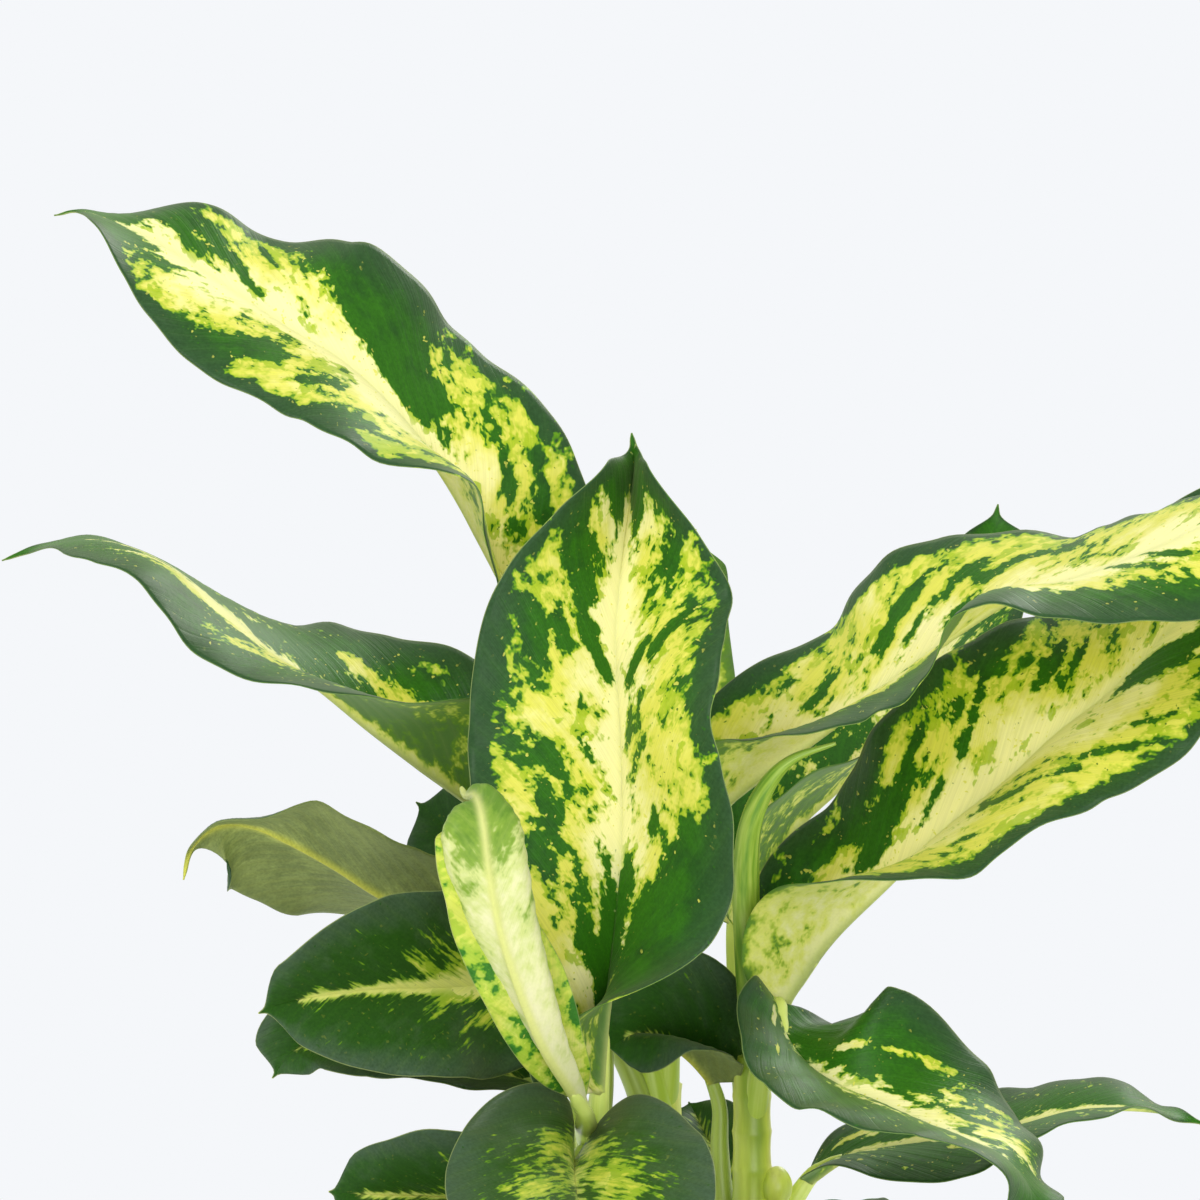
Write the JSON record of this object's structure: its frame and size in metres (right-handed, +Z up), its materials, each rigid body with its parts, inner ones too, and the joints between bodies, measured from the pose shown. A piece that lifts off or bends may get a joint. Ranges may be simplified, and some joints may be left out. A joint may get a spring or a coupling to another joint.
{
  "type": "potted dieffenbachia",
  "caption": "Leafy foliage plant with large variegated leaves on upright canes, growing in a plain round tapered pot filled with soil; stands free on its flat base.",
  "frame": {"origin": "centre of the pot's flat underside", "axes": "+Z up along the pot's axis; the best side of the plant faces -Y; +X is to the right when looking at that side"},
  "size_m": [0.4939, 0.4108, 0.5584],
  "materials": {
    "pot_clay": "matt off-white glaze, plain",
    "soil": null,
    "cane": "smooth green plant stem with leaf scars",
    "young_leaf": "soft satin, pale yellow-green",
    "dark_leaf": "satin, dark green with a pale midrib",
    "grey_green_leaf": "satin, grey-green underside",
    "variegated_leaf": "satin, dark green margins and cream to yellow-green centre"
  },
  "bodies": {
    "root": {"pot": "pot_clay", "soil": "soil", "cane_front": "cane", "cane_back": "cane", "cane_right": "cane", "leaf_spear": "young_leaf", "leaf_high_left": "variegated_leaf", "leaf_right_wide": "variegated_leaf", "leaf_right_top": "variegated_leaf", "leaf_front_right": "variegated_leaf", "leaf_back_upright": "variegated_leaf", "leaf_half_rolled": "young_leaf", "leaf_long_left": "variegated_leaf", "leaf_dark_left": "dark_leaf", "leaf_front_upright": "variegated_leaf", "leaf_back_left": "dark_leaf", "leaf_back_right": "variegated_leaf", "leaf_under_left": "grey_green_leaf", "leaf_behind_left": "dark_leaf", "leaf_low_front": "variegated_leaf", "leaf_back_low": "dark_leaf", "leaf_low_left": "dark_leaf", "leaf_low_back": "dark_leaf", "leaf_right_low": "variegated_leaf", "leaf_bent_centre": "dark_leaf", "leaf_low_right": "dark_leaf"}
  },
  "joints": []
}
